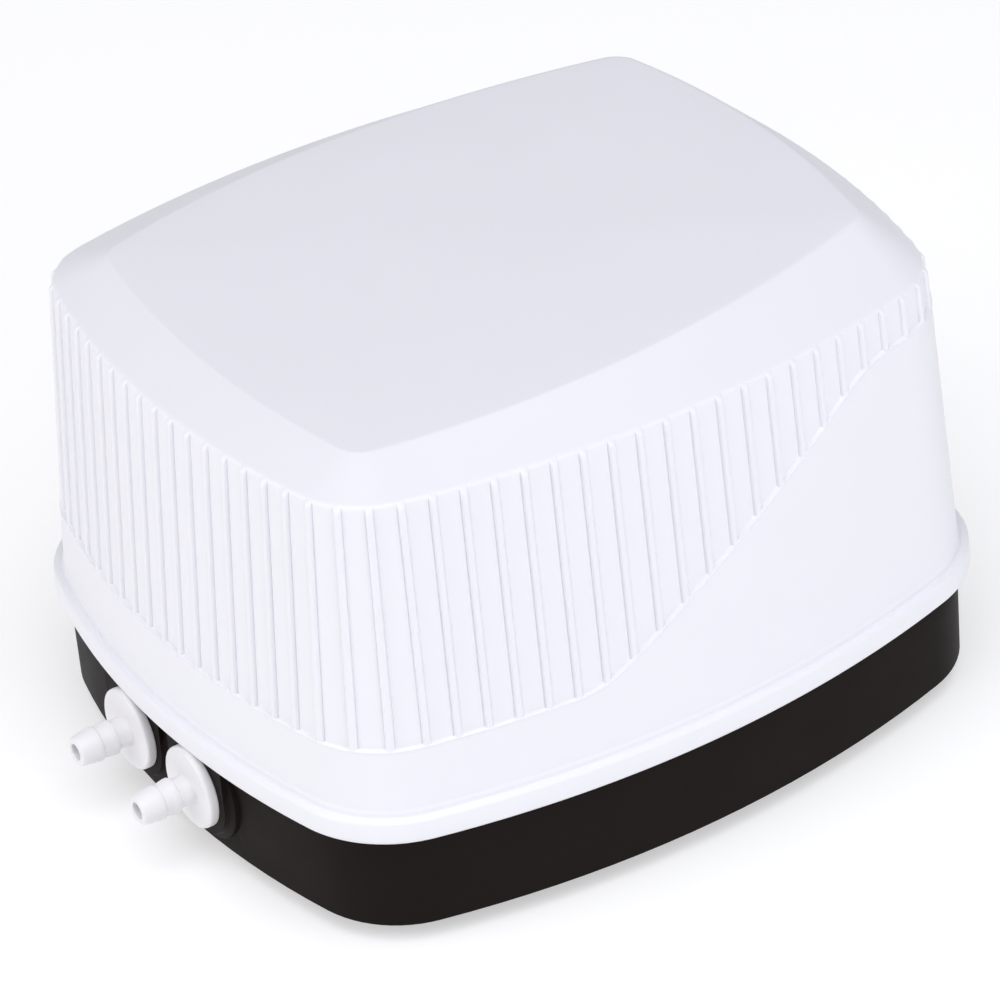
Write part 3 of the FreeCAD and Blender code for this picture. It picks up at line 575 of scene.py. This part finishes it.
def plastic(name, colour, roughness, grain=9000, bump=0.03, patch=25, drift=0.03, scratches=0.0,
            specular=0.5, scatter=0.0, dust=0.0):
    """Moulded plastic or rubber: fine mould texture, faint colour drift, uneven gloss, light scratches."""
    material = bpy.data.materials.new(name)
    n = Nodes(material)
    broad = n.noise(patch, 3.0)
    light = tuple(min(c * (1 + drift), 1.0) for c in colour[:3]) + (1.0,)
    dark = tuple(c * (1 - drift) for c in colour[:3]) + (1.0,)
    tone = n.ramp(broad, "Fac", [(0.3, dark), (0.7, light)])
    n.link(tone, "Color", n.bsdf, "Base Color")
    fine = n.noise(grain, 2.0)
    gloss = n.noise(patch * 3, 4.0)
    rough = n.spread(gloss, "Fac", roughness - 0.05, roughness + 0.06)
    last, last_out = rough, "Result"
    if scratches:
        lines = n.noise(260, 6.0, (1.0, 0.9, 18.0), 0.7)
        marks = n.spread(lines, "Fac", 0.0, scratches, 0.62, 0.74)
        total = n.add("ShaderNodeMath")
        total.operation = "ADD"
        n.tree.links.new(rough.outputs["Result"], total.inputs[0])
        n.tree.links.new(marks.outputs["Result"], total.inputs[1])
        last, last_out = total, "Value"
    n.link(last, last_out, n.bsdf, "Roughness")
    if dust:
        specks = n.add("ShaderNodeTexVoronoi", Scale=420.0, Randomness=1.0)
        n.link(n.stretched((1, 1, 1)), "Vector", specks, "Vector")
        where = n.spread(specks, "Distance", dust, 0.0, 0.02, 0.07)
        mix = n.add("ShaderNodeMix")
        mix.data_type = "RGBA"
        n.tree.links.new(where.outputs["Result"], mix.inputs["Factor"])
        n.tree.links.new(tone.outputs["Color"], mix.inputs["A"])
        mix.inputs["B"].default_value = grey(0.35)
        n.tree.links.new(mix.outputs["Result"], n.bsdf.inputs["Base Color"])
    relief = n.add("ShaderNodeBump", Strength=bump, Distance=0.0001)
    n.link(fine, "Fac", relief, "Height")
    n.link(relief, "Normal", n.bsdf, "Normal")
    n.bsdf.inputs["Specular IOR Level"].default_value = specular
    if scatter:
        n.bsdf.inputs["Subsurface Weight"].default_value = scatter
        n.bsdf.inputs["Subsurface Radius"].default_value = (1.0, 0.9, 0.8)
        n.bsdf.inputs["Subsurface Scale"].default_value = 0.0006
    return material


def metal(name, colour, roughness, stretch=(1, 1, 12), grain=700, bump=0.05):
    """Plated or drawn metal with fine directional marks."""
    material = bpy.data.materials.new(name)
    n = Nodes(material)
    marks = n.noise(grain, 5.0, stretch, 0.6)
    dark = tuple(c * 0.8 for c in colour[:3]) + (1.0,)
    tone = n.ramp(marks, "Fac", [(0.3, dark), (0.7, colour)])
    n.link(tone, "Color", n.bsdf, "Base Color")
    rough = n.spread(marks, "Fac", roughness - 0.08, roughness + 0.1)
    n.link(rough, "Result", n.bsdf, "Roughness")
    relief = n.add("ShaderNodeBump", Strength=bump, Distance=0.0001)
    n.link(marks, "Fac", relief, "Height")
    n.link(relief, "Normal", n.bsdf, "Normal")
    n.bsdf.inputs["Metallic"].default_value = 1.0
    return material


MATERIALS = {
    "cover_white": plastic("cover_white", (0.845, 0.845, 0.88, 1), 0.42, bump=0.06, drift=0.006,
                           scatter=0.04),
    "tray_black": plastic("tray_black", (0.0105, 0.0075, 0.0064, 1), 0.5, bump=0.08, drift=0.10,
                          scratches=0.18, specular=0.05),
    "nozzle_white": plastic("nozzle_white", grey(0.83, (1.0, 0.99, 1.0)), 0.42, bump=0.02,
                            drift=0.01, scatter=0.08),
    "rubber_black": plastic("rubber_black", grey(0.02), 0.62, grain=5000, bump=0.15, drift=0.12,
                            dust=0.2),
    "silicone_tube": plastic("silicone_tube", (0.62, 0.6, 0.55, 1), 0.4, bump=0.04, scatter=0.6),
    "zinc_steel": metal("zinc_steel", (0.62, 0.63, 0.62, 1), 0.32),
    "lamination_steel": metal("lamination_steel", (0.32, 0.33, 0.35, 1), 0.45, stretch=(1, 1, 40)),
    "ferrite_magnet": plastic("ferrite_magnet", grey(0.045), 0.5, grain=6000, bump=0.2),
    "copper_enamel": metal("copper_enamel", (0.72, 0.26, 0.1, 1), 0.3, stretch=(1, 1, 30),
                           grain=1500, bump=0.3),
    "nylon_natural": plastic("nylon_natural", (0.7, 0.67, 0.58, 1), 0.45, scatter=0.3),
    "arm_nylon": plastic("arm_nylon", (0.05, 0.05, 0.055, 1), 0.5),
    "head_grey": plastic("head_grey", (0.25, 0.26, 0.27, 1), 0.5),
    "lead_red": plastic("lead_red", (0.5, 0.03, 0.02, 1), 0.4),
    "felt_grey": plastic("felt_grey", (0.45, 0.44, 0.42, 1), 0.95, grain=2500, bump=0.8, drift=0.15),
}


def paint(obj, name):
    """Gives an object one of the materials, and no other."""
    obj.data.materials.clear()
    obj.data.materials.append(MATERIALS[name])


for part in frame["record"]["subparts"]:
    paint(frame["nodes"][part["node"]], part["material_slot"])
shell = cover()
paint(shell, "cover_white")
paint(cover_posts(shell), "cover_white")
for side in ("left", "right"):
    paint(nozzle(side), "nozzle_white")
    paint(boss_collar(side), "tray_black")
softened("base_tray", "tray", "housing", "tray_black", 0.25)
softened("filter_cap", "intake_grille", "housing", "tray_black", 0.3)
softened("cord_gland", "gland", "housing", "rubber_black", 0.4)
softened("rubber_feet", "feet", "housing", "rubber_black", 0.4)


# ---- camera, lights, floor ------------------------------------------------------------------
CAMERA_TURNS = (59.437, 34.195, -5.125)
# from the housing's frame to the camera, along the camera's own right, up and back, before scaling
CAMERA_RIGHT, CAMERA_UP, CAMERA_BACK, CAMERA_SCALE = -4.403, 39.746, 1318.96, 0.67
SENSOR_WIDTH, LENS_IN_SENSORS = 36.0, 5.22396


def camera():
    """A long lens from the front right; turns are azimuth, elevation and roll in degrees."""
    azimuth, elevation, roll = (math.radians(a) for a in CAMERA_TURNS)
    back = Vector((math.sin(azimuth) * math.cos(elevation), -math.cos(azimuth) * math.cos(elevation),
                   math.sin(elevation)))
    right = Vector((math.cos(azimuth), math.sin(azimuth), 0.0))
    up = back.cross(right)
    right, up = (math.cos(roll) * right + math.sin(roll) * up,
                 -math.sin(roll) * right + math.cos(roll) * up)
    offset = right * CAMERA_RIGHT + up * CAMERA_UP + back * CAMERA_BACK
    place = offset * CAMERA_SCALE * MM + Vector(ORIGIN)
    made = bpy.data.objects.new("camera", bpy.data.cameras.new("camera"))
    bpy.context.scene.collection.objects.link(made)
    turn = Matrix((right, up, back)).transposed()
    made.matrix_world = Matrix.Translation(place) @ turn.to_4x4()
    made.data.sensor_width = SENSOR_WIDTH
    made.data.lens = SENSOR_WIDTH * LENS_IN_SENSORS
    made.data.clip_start, made.data.clip_end = 0.02, 20.0
    bpy.context.scene.camera = made


def area_light(name, azimuth, elevation, distance, size, power, colour):
    """A soft box that faces the object; azimuth 0 is in front of it and 90 on its +X side."""
    made = bpy.data.objects.new(name, bpy.data.lights.new(name, "AREA"))
    bpy.context.scene.collection.objects.link(made)
    a, e = math.radians(azimuth), math.radians(elevation)
    away = Vector((math.sin(a) * math.cos(e), -math.cos(a) * math.cos(e), math.sin(e)))
    middle = Vector((0, 0, 0.04))
    made.location = middle + away * distance
    made.rotation_mode = "QUATERNION"
    made.rotation_quaternion = (-away).to_track_quat("-Z", "Y")
    made.data.shape = "RECTANGLE"
    made.data.size, made.data.size_y = size
    made.data.energy = power
    made.data.color = colour


def studio():
    """A pale floor, a faint cool sky, one large key light and two fills."""
    scene = bpy.context.scene
    scene.view_settings.view_transform = "Standard"
    scene.world = bpy.data.worlds.new("studio")
    scene.world.use_nodes = True
    background = scene.world.node_tree.nodes["Background"]
    background.inputs["Color"].default_value = (0.93, 0.94, 1.0, 1.0)
    background.inputs["Strength"].default_value = 0.29
    area_light("key", 60, 66, 1.5, (1.4, 1.2), 15.5, (0.95, 0.955, 1.0))
    area_light("fill_front", -14, 22, 1.3, (0.9, 0.6), 4.8, (1.0, 0.965, 0.965))
    area_light("fill_right", 112, 22, 1.3, (0.9, 0.6), 3.9, (0.93, 0.96, 1.0))
    floor = bpy.data.meshes.new("floor")
    reach = 6.0
    floor.from_pydata([(-reach, -reach, 0), (reach, -reach, 0), (reach, reach, 0), (-reach, reach, 0)],
                      [], [(0, 1, 2, 3)])
    plane = bpy.data.objects.new("floor", floor)
    scene.collection.objects.link(plane)
    pale = bpy.data.materials.new("floor_pale")
    n = Nodes(pale)
    n.bsdf.inputs["Base Color"].default_value = grey(0.6)
    n.bsdf.inputs["Roughness"].default_value = 0.9
    n.bsdf.inputs["Emission Color"].default_value = grey(1.0)
    n.bsdf.inputs["Emission Strength"].default_value = 0.48
    floor.materials.append(pale)


camera()
studio()
